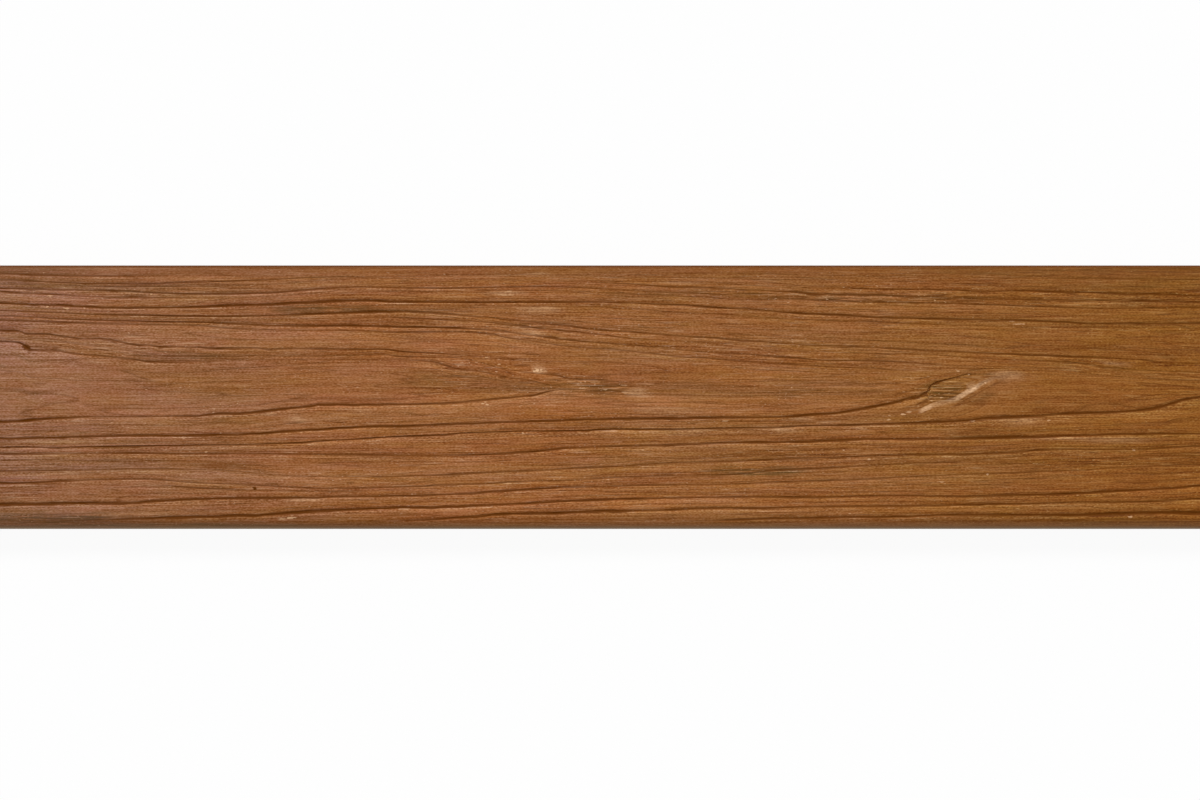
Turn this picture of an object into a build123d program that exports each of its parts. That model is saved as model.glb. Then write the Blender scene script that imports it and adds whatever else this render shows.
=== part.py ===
"""Solid square-edge composite decking board, lying face up as it is laid on joists.

The board is one extruded length of wood-plastic composite with sawn ends. Its section is a plain
rectangle whose two upper long edges are rounded over, as the walking face's arrises are, and whose
two lower long edges are only eased. The face's pressed wood grain is fine relief and isn't modelled.

Units are millimetres. X runs along the board, Y across it and Z up. The origin is at the middle of
the underside, where the board bears on its joists.
"""

import os

from build123d import *

# Driving dimensions of the board
BOARD_LENGTH = 3658.0
BOARD_WIDTH = 140.0
BOARD_THICKNESS = 24.0

# Radius of the walking face's two long arrises, and of the two that face the joists
FACE_ARRIS_RADIUS = 6.0
UNDERSIDE_ARRIS_RADIUS = 3.0

PARTS_FOLDER = "parts"


def deck_board():
    """The board's section, drawn square to the grain, and run along the whole length."""
    with BuildPart() as board:
        with BuildSketch(Plane.YZ) as section:
            Rectangle(BOARD_WIDTH, BOARD_THICKNESS, align=(Align.CENTER, Align.MIN))
            underside_corners = section.vertices().group_by(Axis.Y)[0]
            fillet(underside_corners, UNDERSIDE_ARRIS_RADIUS)
            face_corners = section.vertices().group_by(Axis.Y)[-1]
            fillet(face_corners, FACE_ARRIS_RADIUS)
        extrude(amount=BOARD_LENGTH / 2, both=True)
    board.part.label = "deck_board"
    return board.part


def main():
    os.makedirs(PARTS_FOLDER, exist_ok=True)
    piece = deck_board()
    export_step(piece, f"{PARTS_FOLDER}/{piece.label}.step")


main()
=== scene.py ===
"""Looks of a solid composite decking board with a pressed wood-grain face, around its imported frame.

The board lies face up and is seen from straight above, with its two ends beyond the picture. Its long
edge at the top of the photograph is the far edge (+Y), and the other one the near edge. Places on the
board are in millimetres here, and become metres where a mesh is made. Photo columns and rows are in
pixels of the 1200 x 800 photograph.
"""

import math

import bpy
import numpy as np
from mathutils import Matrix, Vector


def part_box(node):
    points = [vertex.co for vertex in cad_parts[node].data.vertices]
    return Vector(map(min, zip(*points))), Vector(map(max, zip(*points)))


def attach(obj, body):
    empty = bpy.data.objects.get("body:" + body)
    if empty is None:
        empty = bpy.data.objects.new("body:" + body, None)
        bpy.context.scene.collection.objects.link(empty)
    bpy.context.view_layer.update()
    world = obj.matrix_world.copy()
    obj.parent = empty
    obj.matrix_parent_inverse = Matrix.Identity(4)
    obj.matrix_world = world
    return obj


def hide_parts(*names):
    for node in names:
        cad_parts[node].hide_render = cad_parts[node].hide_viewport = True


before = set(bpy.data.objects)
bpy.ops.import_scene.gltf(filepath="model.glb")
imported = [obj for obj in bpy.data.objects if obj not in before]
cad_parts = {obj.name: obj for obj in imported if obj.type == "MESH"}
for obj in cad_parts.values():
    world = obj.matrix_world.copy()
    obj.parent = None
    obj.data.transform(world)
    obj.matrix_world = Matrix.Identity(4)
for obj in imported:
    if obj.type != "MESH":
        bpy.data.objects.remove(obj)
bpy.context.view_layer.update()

MM = 0.001
BOARD = "deck_board"

# Sizes of the board, as the frame has them, and the radii of its arrises
board_low, board_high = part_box(BOARD)
BOARD_LENGTH = (board_high.x - board_low.x) / MM
BOARD_WIDTH = (board_high.y - board_low.y) / MM
BOARD_THICKNESS = (board_high.z - board_low.z) / MM
FACE_ARRIS_RADIUS = 6.0
UNDERSIDE_ARRIS_RADIUS = 3.0

# How the photograph frames the board: the picture, the rows of the two long edges, and the scale
PHOTO_COLUMNS = 1200
PHOTO_ROWS = 800
FAR_EDGE_ROW = 265.45
NEAR_EDGE_ROW = 528.95
BOARD_MIDDLE_ROW = (FAR_EDGE_ROW + NEAR_EDGE_ROW) / 2
MM_PER_PIXEL = BOARD_WIDTH / (NEAR_EDGE_ROW - FAR_EDGE_ROW)
PHOTO_MIDDLE = PHOTO_COLUMNS / 2
HALF_LENGTH_PIXELS = BOARD_LENGTH / 2 / MM_PER_PIXEL

# The press roller repeats its grain this many times along the board
ROLLER_TURNS = 4
ROLLER_PITCH = BOARD_LENGTH / ROLLER_TURNS / MM_PER_PIXEL

# Beyond the photograph the lines wander: how far in pixels, in which waves and after what run-in, from
# which first seed, and how many lines side by side share one
LINE_WANDER = 2.2
WANDER_WAVES = (310, 173, 97)
WANDER_RUN_IN = 120
WANDER_SEED = 40
LINES_PER_SEED = 3

# How far the rows of the face reach from the board's middle line, a little way onto the arrises
FACE_ROWS_HALF = 68.3

# Pressed grain lines of the photographed stretch, from the far edge to the near edge. A point is a photo
# column, a photo row and how hard the line is pressed there, which is up to 3.2 and 0 where left out.
GRAIN_LINES = {
    "far_hairline": [
        (0, 274, 0.8), (40, 275.5, 1.3), (75, 276.3, 1.1), (110, 276.5, 1), (160, 276, 0.6),
        (210, 275.2, 0.1), (300, 273.5), (600, 273, 0.1), (720, 274.2, 0.2), (775, 274.6, 0.6),
        (830, 275, 0.1), (875, 276, 0.3), (905, 276.3, 0.1), (945, 277.3, 0.3), (975, 277.5, 0.1),
        (1010, 279, 0.2), (1125, 279.5, 0.9), (1200, 280, 0.4),
    ],
    "far_line": [
        (0, 280.5, 1.1), (30, 281.7, 1.1), (60, 283.3, 1.4), (100, 284.6, 1.4), (160, 284.8, 1.4),
        (175, 283.7, 1.4), (215, 282.6, 1.4), (260, 281, 1.1), (290, 279.3, 0.9), (320, 278, 0.6),
        (350, 277.5, 0.5), (400, 277.3, 0.2), (475, 276.3, 0.4), (520, 276.2), (600, 277), (760, 279.5),
        (900, 283.5), (1050, 285.5), (1200, 288),
    ],
    "far_late_line": [
        (0, 282.8), (60, 284.5), (110, 285.8), (200, 285), (300, 281.2), (400, 279.8), (500, 278.9),
        (600, 280.6), (700, 284.3, 0.1), (760, 286.5, 0.1), (800, 288.3, 0.3), (870, 289.4, 0.8),
        (960, 291, 1.2), (990, 292, 1), (1015, 291, 1.1), (1040, 292, 1.5), (1110, 293.6, 1.2),
        (1130, 294.5, 1.4), (1160, 294.6, 1.7), (1200, 297, 1),
    ],
    "forked_line": [
        (0, 285, 0.5), (60, 285.9, 0.6), (110, 287, 0.9), (170, 287.2, 0.7), (230, 286.4, 0.3),
        (300, 283.8), (400, 282.2), (500, 281.4), (575, 282.6, 0.4), (630, 284.5, 0.9), (670, 287.4, 1.3),
        (700, 288, 1.1), (740, 290, 0.9), (770, 291.5, 1), (800, 293.3, 2.3), (835, 295, 1.3),
        (880, 296, 1.2), (925, 297.5, 0.4), (985, 299.5, 0.8), (1040, 300.2, 1.2), (1090, 301, 1.1),
        (1155, 301.7, 1.3), (1200, 303, 1.1),
    ],
    "upper_line": [
        (0, 288.7, 1.8), (30, 289.5, 1.3), (90, 290.5, 1.2), (150, 293, 1.3), (200, 294.5, 1.3),
        (225, 294.5, 1.5), (270, 293.3, 1.5), (290, 292, 1.3), (320, 289.5, 1.1), (365, 287.6, 1),
        (400, 288.3, 1), (440, 289, 1.1), (500, 287.8, 0.8), (540, 287.3, 0.9), (590, 288.4, 0.7),
        (615, 290.5, 0.5), (650, 292.2, 0.6), (700, 294, 0.6), (750, 297, 0.5), (800, 299.8, 0.6),
        (850, 302, 1.1), (935, 303.8, 1), (1000, 305.5, 1), (1040, 307, 0.9), (1110, 309, 0.7),
        (1130, 308.6, 0.8), (1200, 308.2, 0.8),
    ],
    "upper_companion": [
        (0, 291.5, 0.9), (20, 293.5, 1.2), (45, 294.4, 1), (90, 297, 0.8), (160, 298.3, 0.9),
        (250, 297.8, 0.1), (330, 294.3, 0.1), (385, 292.2, 0.4), (440, 292.3, 0.4), (500, 291.4, 0.5),
        (560, 291.4, 0.3), (610, 293.8, 0.3), (650, 295.6, 0.6), (700, 297.6, 0.4), (740, 300.2, 0.2),
        (800, 304), (900, 307.5), (1000, 309.6), (1100, 313), (1200, 312.5),
    ],
    "main_line": [
        (0, 303.7, 1.8), (20, 304.5, 1.6), (40, 305.7, 1.9), (65, 305.9, 1.8), (100, 308, 1.7),
        (130, 308.5, 1.5), (175, 308, 1.6), (200, 307.5, 1.9), (230, 306, 1.8), (270, 305, 1.8),
        (305, 303, 1.7), (345, 301.3, 1.9), (370, 301, 1.8), (400, 302.5, 2), (480, 303, 2.1),
        (540, 302.5, 1.8), (625, 303, 1.1), (655, 304.5, 1.2), (680, 305.5, 1.2), (715, 307.8, 1.4),
        (755, 310, 1), (800, 313.7, 1.7), (845, 315.5, 1.6), (880, 318, 1.4), (920, 318.8, 1.5),
        (965, 320, 1.4), (1000, 320.5, 1.4), (1050, 322, 1.5), (1100, 324, 1.3), (1160, 324, 1.3),
        (1200, 323.5, 1.6),
    ],
    "main_companion": [
        (0, 307.6, 0.2), (40, 309.2, 0.2), (100, 311.7, 0.1), (180, 312), (260, 309.6, 0.6),
        (330, 308.4, 0.2), (380, 306.6), (430, 306.2, 0.3), (540, 307, 0.6), (600, 307.3, 0.7),
        (620, 309, 0.5), (645, 310.5, 0.2), (680, 312.5, 0.2), (730, 315, 0.2), (765, 318.5, 0.5),
        (800, 320.2, 0.5), (870, 322.5, 0.6), (890, 323.5, 0.7), (950, 325.5, 0.5), (1010, 327.2, 0.2),
        (1070, 327.8, 0.2), (1180, 328.5, 0.3), (1200, 330, 0.4),
    ],
    "stain_line": [
        (0, 311, 1.1), (35, 312.2, 1.2), (60, 313, 0.9), (95, 315, 1), (140, 315.5, 1.3), (160, 316.2, 1.8),
        (225, 317, 1.6), (270, 316, 0.8), (325, 314, 2.1), (370, 312.5, 2.2), (400, 312, 1.5),
        (445, 314, 1.3), (475, 317, 1), (495, 318.5, 0.9), (515, 321, 0.9), (550, 324.5, 1),
        (585, 328.5, 1.2), (600, 330.5, 1.2), (640, 333, 0.9), (680, 336.5, 1), (715, 338.5, 1.4),
        (740, 340.5, 1.5), (780, 343.5, 1), (830, 346.5, 1.1), (865, 347.6, 1.2), (900, 349.5, 1.2),
        (940, 351.5, 1.1), (975, 353, 1), (1025, 355, 1.3), (1070, 357, 1.4), (1100, 358.2, 1),
        (1140, 360.5, 0.6), (1165, 363.3, 0.5), (1200, 364.2, 0.6),
    ],
    "stain_companion": [
        (0, 313.6, 0.1), (60, 315.8, 0.1), (110, 318), (205, 319.8), (300, 319.6), (380, 317.8, 0.4),
        (440, 320, 0.8), (490, 323, 1), (530, 327.6, 1.2), (600, 335, 1.1), (625, 338.2, 0.8),
        (660, 340.6, 0.5), (720, 343.2, 0.3), (760, 346.4, 0.2), (800, 350, 0.1), (850, 353.2, 0.3),
        (880, 354, 0.5), (920, 354.9, 0.4), (960, 356.9, 0.4), (1000, 359.8, 0.5), (1060, 362, 1.1),
        (1080, 363.6, 0.9), (1090, 365, 0.9), (1105, 368, 1.1), (1120, 369.5, 0.8), (1150, 371.3, 0.6),
        (1200, 372.5, 0.6),
    ],
    "sharp_line": [
        (0, 316.3, 1.1), (15, 316.5, 1), (40, 318, 0.7), (75, 319.8, 1.3), (100, 320.5, 1.3),
        (175, 322.3, 1.7), (205, 322.6, 1.6), (230, 323.7, 1.3), (285, 326, 1.4), (350, 326.2, 1.9),
        (405, 327.4, 2), (450, 328.3, 1.7), (510, 332.5, 0.9), (530, 335, 1), (550, 337.5, 1.5),
        (575, 341, 1.1), (605, 343.5, 0.9), (660, 348, 0.6), (700, 352, 0.6), (745, 354.5, 0.7),
        (780, 357.3, 1.2), (795, 358.2, 1), (820, 360.4, 0.7), (880, 361.4, 1.1), (900, 362.3, 1),
        (930, 364.5, 0.8), (950, 365.3, 0.3), (1000, 366.8), (1060, 368.6), (1090, 371.4), (1120, 373.4),
        (1180, 375.6, 0.6), (1200, 378, 0.8),
    ],
    "sharp_companion": [
        (0, 320.5, 1), (40, 322, 1), (100, 324, 1), (205, 326.3, 0.8), (225, 328.2, 0.8), (285, 330.5, 0.8),
        (350, 331, 0.8), (405, 332.5, 1.2), (450, 332.4, 1), (490, 333.7, 1), (505, 337.5, 0.8),
        (530, 340.9, 0.7), (560, 345.6, 0.6), (590, 348.4, 0.7), (620, 350.6, 0.7), (656, 354.4, 0.9),
        (680, 357, 0.9), (710, 358.8, 0.9), (740, 361.5, 0.9), (775, 364, 0.8), (830, 367, 0.7),
        (860, 368.4, 0.8), (900, 369.8, 0.3), (950, 370, 0.1), (965, 370.2, 0.1), (990, 369.8, 0.1),
        (1015, 368.4), (1060, 370.2), (1100, 375.2), (1200, 381),
    ],
    "wandering_line": [
        (0, 331, 1.4), (18, 331.2, 1.6), (24, 332.5, 1), (28, 334.4, 1.3), (48, 334.6, 1.4), (63, 336.6, 1),
        (90, 339.4, 0.9), (104, 338.8, 1.4), (118, 341, 1.4), (127, 343.6, 1.1), (137, 345.5, 1.4),
        (150, 345.2, 1), (160, 347.6, 1.7), (172, 346.9, 1.2), (180, 347, 1), (200, 348, 1.4),
        (219, 348.8, 1.3), (257, 348.5, 0.8), (267, 350.2, 1.1), (290, 349, 1), (330, 349.5, 1),
        (365, 350, 1.5), (383, 349.4, 1.5), (402, 352, 1.3), (440, 354.3, 1), (465, 355.5, 0.3),
        (500, 357.5), (560, 361), (640, 363), (720, 367.5), (800, 371.5), (880, 373.4), (920, 372.8),
        (960, 371.4), (990, 371), (1015, 369.2), (1060, 371.2), (1100, 376), (1200, 382),
    ],
    "arch_companion": [
        (0, 339, 0.4), (20, 339.8, 0.4), (60, 342.5, 0.6), (100, 347, 0.5), (150, 354, 0.6),
        (170, 356.5, 0.8), (205, 356.6, 0.7), (262, 356.3, 0.5), (300, 356.6, 0.7), (350, 355.8, 0.7),
        (385, 354.9, 0.8), (400, 356.7, 1), (430, 357.2, 0.8), (460, 358.2, 0.5), (490, 366, 0.2),
        (520, 371.8, 0.5), (545, 374.5, 0.8), (555, 375.4, 0.9), (566, 377.6, 0.5), (572, 379.2, 1),
        (585, 380, 1.2), (598, 380, 1.1), (604, 380.6, 0.3), (625, 381.5, 0.1), (680, 380.5), (760, 380),
        (840, 380.5), (900, 379), (925, 375.8), (945, 373.2), (965, 372.1), (990, 371.6), (1015, 369.9),
        (1060, 372.2), (1100, 376.8), (1200, 383),
    ],
    "upper_arch": [
        (0, 341.6, 1.2), (18, 342.4, 1.5), (23, 343.4, 1.9), (26, 345.4, 2.6), (29, 348.2, 2.4),
        (32, 350.3, 1.6), (45, 350.8, 1.2), (57, 350.9, 1.2), (80, 354.5, 1.2), (92, 355.4, 1),
        (125, 358.6, 1), (140, 360.3, 1), (150, 361.8, 1.4), (160, 362.5, 1.1), (205, 362.1, 0.4),
        (250, 361.2, 0.2), (340, 359.7, 0.1), (400, 360.2, 0.4), (417, 361, 0.9), (435, 362.2, 1.2),
        (448, 366.5, 1.3), (455, 368.5, 0.9), (470, 370.5, 0.8), (485, 372.5, 0.8), (497, 375.3, 0.7),
        (506, 377.2, 0.7), (522, 379.4, 0.7), (535, 382, 0.7), (541, 383.6, 0.8), (549, 385.2, 0.7),
        (556, 386.6, 0.5), (566, 387), (625, 387.4), (680, 388), (780, 387.5), (860, 386.5), (900, 384.3),
        (925, 379), (945, 374.4), (965, 372.8), (990, 372.3), (1015, 370.6), (1060, 373.2), (1100, 377.4),
        (1200, 384),
    ],
    "lower_arch": [
        (0, 422.3, 2.3), (30, 420.5, 2.5), (40, 419.6, 2.2), (55, 418.3, 2), (70, 417.6, 1.6),
        (100, 416.8, 1), (150, 416.5, 0.8), (200, 416, 1.6), (216, 413.9, 2), (240, 413.5, 1.9),
        (264, 411.5, 2.1), (284, 408.9, 2.1), (305, 407.2, 2), (323, 404.5, 2), (350, 405, 1.9),
        (387, 404.5, 1.7), (430, 404, 1.6), (450, 403, 1.4), (480, 400.6, 1.3), (509, 397.7, 1.5),
        (522, 396.4, 1.5), (535, 395, 1.6), (542, 393.1, 1.8), (549, 391.4, 1.4), (556, 390.3, 0.9),
        (564, 390, 0.5), (574, 390.2), (620, 391.2), (680, 393.5), (780, 395.5), (860, 394.5), (895, 391),
        (915, 386.5), (925, 382.2), (940, 376.5), (965, 373.4), (990, 373), (1015, 371.3), (1060, 374.2),
        (1100, 378), (1200, 385),
    ],
    "hooked_line": [
        (0, 438.7, 2.1), (30, 438.3, 2.1), (75, 437, 1.6), (115, 435.8, 1.5), (150, 435.2, 1.8),
        (205, 435.1, 2), (250, 434.3, 2), (290, 431.2, 1.9), (310, 430, 1.7), (345, 428, 1.7),
        (380, 426.3, 1.8), (400, 426.2, 1.7), (445, 424.5, 1.6), (490, 422.8, 1.6), (540, 421.3, 1.7),
        (605, 419.3, 1.9), (680, 418.5, 2.1), (715, 417.7, 1.6), (775, 417.3, 1.4), (805, 415.2, 1.8),
        (840, 412.5, 1.7), (853, 410.3, 1.9), (880, 405.2, 2.1), (899, 401.2, 2.3), (908, 398.2, 2.3),
        (917, 396.7, 2.2), (922, 394.8, 2.2), (925.7, 392.9, 2.1), (927.4, 389.4, 1.9), (929.6, 385.9, 1.9),
        (934, 382.7, 1.9), (941, 380.5, 1.7), (950, 378.4, 1.5), (957.5, 376.4, 1.2), (962, 374.4, 0.8),
        (966, 373.9), (990, 373.8), (1015, 372), (1060, 375.2), (1100, 378.8), (1200, 386),
    ],
    "scar": [
        (0, 443), (200, 440.2), (400, 431.2), (600, 424.2), (715, 422.4), (735, 421.8, 0.8),
        (765, 421.4, 0.8), (785, 420.8), (830, 419), (880, 415.8), (917, 412.4), (924, 409.2), (931, 405.8),
        (937, 403.9), (946, 401.7), (953, 399.4), (958, 397), (963, 393.8), (969, 390.5), (974, 388),
        (979, 384.2), (985, 381.2), (992, 378), (1003, 375.6), (1020, 373.6), (1060, 376.6), (1110, 380.4),
        (1200, 388),
    ],
    "rising_line": [
        (0, 447.3, 1.4), (20, 446.5, 1.7), (62, 448, 0.9), (75, 447, 1), (130, 445.7, 1.9),
        (205, 444.7, 1.5), (240, 444.5, 1.2), (265, 443.7, 1.4), (290, 442.9, 1.5), (312, 441.7, 1.6),
        (322, 440.7, 1.6), (350, 439.3, 1.4), (385, 437, 1.7), (420, 435.5, 1.9), (445, 434.5, 1.6),
        (460, 433, 1.5), (510, 431.5, 1.2), (560, 430.6, 1.7), (590, 430, 1.8), (605, 428.8, 1.8),
        (680, 429, 1.5), (735, 427.7, 1.4), (780, 427.2, 1.2), (795, 426, 1.4), (840, 425, 1.5),
        (890, 423.5, 1.4), (920, 422.5, 1.7), (970, 420, 1.8), (985, 418, 2.1), (1003, 417.2, 2.4),
        (1020, 417, 2.3), (1035, 416, 1.4), (1050, 414.6, 1.3), (1065, 413.8, 1.8), (1130, 411.2, 1.8),
        (1145, 409.5, 2.3), (1155, 407.5, 2.3), (1165, 405, 2.3), (1180, 400.2, 1.9), (1190, 398.2, 1.7),
        (1200, 396.6, 1.5),
    ],
    "steady_line": [
        (0, 453.8, 1.7), (50, 453.5, 1), (95, 453.5, 0.8), (110, 452.8, 1.5), (140, 452.8, 1.7),
        (160, 453.5, 1.3), (250, 453.5, 1), (320, 454.3, 1), (360, 454.7, 1.2), (430, 455.6, 0.9),
        (480, 454.3, 1.4), (500, 453.6, 1.4), (520, 452.3, 1.6), (535, 451.5, 1.7), (550, 449.5, 1.9),
        (565, 448, 1.5), (605, 446.6, 1.2), (675, 444.7, 1.5), (715, 443, 1.3), (735, 442.3, 1.7),
        (800, 441.6, 1.8), (870, 439.1, 1.5), (930, 439, 1.3), (960, 438.7, 1.5), (985, 437.7, 1.7),
        (1030, 437, 2.5), (1075, 435.5, 1.6), (1130, 434, 1.4), (1200, 433.6, 1.3),
    ],
    "dipping_line": [
        (0, 471, 1.3), (45, 470.3, 1.2), (100, 469.3, 0.8), (140, 468.6, 1.1), (205, 469.8, 0.7),
        (240, 471.5, 0.6), (265, 474, 0.7), (305, 476, 0.5), (345, 476.6, 0.7), (385, 476.5, 1),
        (430, 475.2, 1), (480, 472.7, 1.2), (505, 471.5, 1.2), (550, 469.7, 1), (565, 468.5, 1.1),
        (605, 466.8, 1.4), (660, 463.5, 1), (680, 462.6, 0.9), (725, 461.5, 1.1), (765, 459.7, 1.5),
        (780, 458.7, 1.1), (820, 458, 0.9), (865, 456, 1.1), (905, 454.7, 1.4), (975, 454, 1.4),
        (1015, 452, 1.3), (1035, 450, 1.4), (1055, 449.3, 1.1), (1140, 449.5, 1), (1155, 448.3, 1.3),
        (1200, 446.2, 1.3),
    ],
    "soft_line": [
        (0, 482.7, 1.7), (15, 483, 1.9), (70, 480.7, 1.1), (90, 479.9, 1.1), (145, 478.8, 1),
        (200, 482.5, 0.8), (240, 484.3, 0.7), (285, 486.5, 0.9), (320, 488.3, 1.1), (350, 488.3, 0.9),
        (405, 486.6, 1.2), (425, 486.2, 1.3), (435, 485, 1.2), (490, 483.3, 1), (510, 482, 1),
        (575, 480, 0.4), (605, 477.9, 1.2), (665, 475.7, 0.7), (735, 474.4, 1.2), (755, 472, 0.7),
        (775, 470, 1.3), (825, 468, 1.3), (845, 466.7, 1), (890, 464.3, 0.8), (910, 463, 0.8),
        (1003, 461.5, 0.3), (1070, 459, 0.6), (1110, 458.7, 0.8), (1145, 456, 0.8), (1200, 456, 0.7),
    ],
    "soft_companion": [
        (0, 492), (100, 488.5, 0.1), (150, 486, 0.5), (170, 485.6, 0.7), (185, 487, 0.6), (205, 488.2, 1),
        (260, 490.2, 0.5), (310, 491.4, 0.6), (350, 491.4, 0.8), (375, 491, 0.2), (450, 488.3),
        (600, 482.5), (800, 474.5), (1000, 467), (1200, 460.2),
    ],
    "broad_line": [
        (0, 504.3, 3), (50, 503.3, 2.7), (75, 502.6, 2.2), (125, 503, 2.7), (140, 502.3, 2.4),
        (155, 501, 2.1), (205, 498.7, 1.9), (250, 497.7, 1.6), (310, 497.7, 1.4), (330, 496.7, 1.3),
        (405, 495.6, 1.5), (450, 494.3, 1.4), (485, 492, 1.6), (505, 490.5, 1.6), (545, 488, 1.7),
        (565, 486.8, 1.3), (605, 486.3, 0.9), (645, 484.7, 1.2), (700, 484.3, 0.9), (735, 483.7, 0.8),
        (785, 481.7, 1), (875, 478.7, 1.1), (900, 477, 0.7), (925, 475.8, 0.7), (965, 474, 0.6),
        (1003, 473, 0.9), (1035, 471.3, 1), (1085, 470, 0.6), (1100, 468.5, 0.5), (1130, 467, 0.6),
        (1200, 464.5, 1),
    ],
    "near_line": [
        (0, 520.8), (55, 520.5, 0.2), (75, 520.2, 0.2), (100, 519.7, 0.7), (150, 518, 1.6),
        (185, 516.8, 2.4), (220, 516.5, 2.5), (235, 515.4, 2.4), (255, 515.3, 2.3), (285, 513, 2.8),
        (315, 510.7, 2.5), (340, 509.7, 2.1), (380, 508, 1.8), (405, 507.1, 1.7), (425, 507.5, 1.5),
        (445, 506.7, 1.8), (505, 504, 1.4), (530, 503, 1.7), (550, 501.7, 1.7), (605, 499.4, 1.9),
        (660, 498, 1.3), (760, 496.7, 1.3), (805, 497, 1.3), (885, 495.3, 1.1), (965, 496, 1.2),
        (1003, 494.9, 1.4), (1030, 494.5, 1.7), (1070, 493.3, 2.1), (1110, 491, 2), (1170, 488, 1.3),
        (1200, 485.5, 1.4),
    ],
    "nearer_line": [
        (0, 522), (360, 521.5), (412, 520, 0.5), (425, 519.5, 1.3), (440, 518.4, 1.6), (480, 515.8, 1.6),
        (495, 514.3, 1.8), (505, 513.6, 1.7), (560, 512.5, 2.3), (580, 511.5, 2.6), (650, 510, 1.3),
        (670, 509.5, 1.7), (700, 508, 1.5), (780, 507.5, 1.6), (805, 506.5, 1.2), (860, 506, 1.3),
        (915, 505.4, 1.3), (975, 504.3, 1.5), (990, 503.7, 1.6), (1030, 503.5, 1.4), (1065, 502.3, 0.9),
        (1130, 501.8, 1.2), (1170, 500, 1), (1200, 498.5, 1.4),
    ],
    "nearest_line": [
        (0, 523.5), (640, 522.3), (705, 520.7, 0.4), (745, 519, 1.6), (770, 518, 1.6), (805, 517.7, 1.5),
        (855, 516.7, 1.5), (900, 516.5, 1.7), (920, 515.5, 1.3), (975, 514.3, 1.5), (1003, 514.4, 1.5),
        (1070, 514.7, 2), (1095, 514, 2.3), (1120, 513.3, 2.6), (1140, 512.4, 2.9), (1200, 512.6, 3.2),
    ],
}
LINE_NAMES = list(GRAIN_LINES)

# Plain lands wide enough to need more rows of the mesh than the usual one, by the line above each
LAND_ROWS = {
    "wandering_line": 2, "upper_arch": 5, "lower_arch": 3, "scar": 4, "steady_line": 2, "broad_line": 2,
}
USUAL_LAND_ROWS = 1

# The least distance between two lines in pixels, and the rounds in which they are moved apart
LEAST_LINE_GAP = 0.55
SETTLING_ROUNDS = 40

# Pressed-in areas between two lines: the lines, the photo columns where the area starts and ends, and
# its depth. Then the share of its length over which it eases in, and its reach into the lines in rows.
SUNK_AREAS = [("upper_arch", "lower_arch", 500, 566, 0.20), ("hooked_line", "scar", 922, 978, 0.35)]
SUNK_EASE = 0.25
SUNK_REACH = 2

# Marks of the face, each in a list of its own. A mark is a photo column and row, half length, half width
# and strength. First the dark streaked stains.
STAINS = [
    (303, 309.6, 34, 5, 0.95), (340, 308.5, 75, 5, 0.6), (430, 309.5, 60, 3, 0.45), (95, 286, 110, 8, 0.22),
    (700, 295, 100, 4.5, 0.38), (880, 298, 150, 6, 0.5), (1120, 281, 130, 13, 0.24),
    (1080, 303, 130, 6, 0.25), (1160, 268.5, 130, 5, 0.8), (1030, 271, 140, 4.5, 0.5),
    (752, 471, 62, 5.5, 1), (602, 386, 32, 9.5, 0.55), (575, 381, 34, 6, 0.42), (558, 388, 40, 7, 0.42),
    (620, 388.5, 14, 5, 0.35), (675, 386.5, 50, 5.5, 0.32), (510, 386, 50, 7.5, 0.4),
    (540, 325, 45, 5, 0.35), (790, 392, 120, 4.5, 0.22), (1050, 396, 60, 3.5, 0.25),
    (450, 380, 62, 9, 0.44), (943, 391, 26, 11, 0.78), (985, 396.5, 30, 3.5, 0.5),
    (1080, 517.5, 70, 3.5, 0.6), (45, 518.8, 115, 5.8, 1), (160, 516, 60, 2, 0.25),
    (60, 516, 90, 2.6, 0.45), (160, 525, 190, 3.6, 0.7), (980, 437, 40, 2.5, 0.35), (130, 462, 60, 6, 0.2),
    (350, 458, 50, 5, 0.22), (240, 399, 55, 6, 0.2), (950, 462, 140, 7, 0.12), (1150, 438, 70, 6, 0.22),
    (180, 357, 60, 4.5, 0.42), (25, 270, 80, 6.5, 0.5), (942, 400, 30, 4, 0.25), (976, 373, 20, 6, 0.25),
    (620, 389.5, 10, 5, 0.4),
]

# Pale bloom, where the face is worn
BLOOMS = [
    (506, 293.6, 24, 2, 0.34), (533, 333.2, 16, 2.2, 0.36), (637, 392, 11, 4.5, 0.42),
    (539.5, 370.6, 8, 3.8, 0.42), (1005, 375.2, 20, 5, 0.26), (985, 381.2, 7, 2.2, 0.22),
    (969, 386.8, 6, 2.4, 0.5), (944, 402.4, 10, 1.8, 0.12), (60, 268.4, 110, 1.7, 0.16),
    (1112, 363.6, 16, 2.4, 0.22), (540, 308.8, 24, 2, 0.36), (680, 283.5, 24, 1.8, 0.16),
    (305, 499, 22, 1.6, 0.32), (785, 429, 18, 1.5, 0.3), (682, 429.8, 24, 1.5, 0.28),
    (668, 411.4, 44, 1.4, 0.26), (800, 418.8, 14, 1.6, 0.3), (540, 274, 10, 1.4, 0.34),
    (298, 418.8, 12, 1.6, 0.45), (275, 413.4, 10, 1.2, 0.45), (228, 417.2, 12, 1.2, 0.3),
    (360, 411, 12, 2.4, 0.26), (1050, 419.5, 60, 1.8, 0.24), (1085, 438.5, 70, 1.6, 0.26),
    (60, 441.5, 45, 1.6, 0.24), (150, 485, 30, 1.4, 0.22), (95, 511.5, 60, 1.6, 0.3),
]

# Broad areas a little lighter than the rest
GLOWS = [
    (690, 404, 330, 12, 0.95), (1060, 384, 220, 15, 0.6), (440, 335, 190, 14, 0.65),
    (250, 344, 150, 9, 0.3), (430, 417, 90, 7, 0.4), (545, 477, 80, 6, 0.4), (1060, 282, 90, 6, 0.45),
    (455, 486, 70, 9, 0.55), (40, 372, 120, 22, 0.35), (560, 500, 260, 10, 0.25), (780, 312, 140, 10, 0.3),
]

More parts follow.
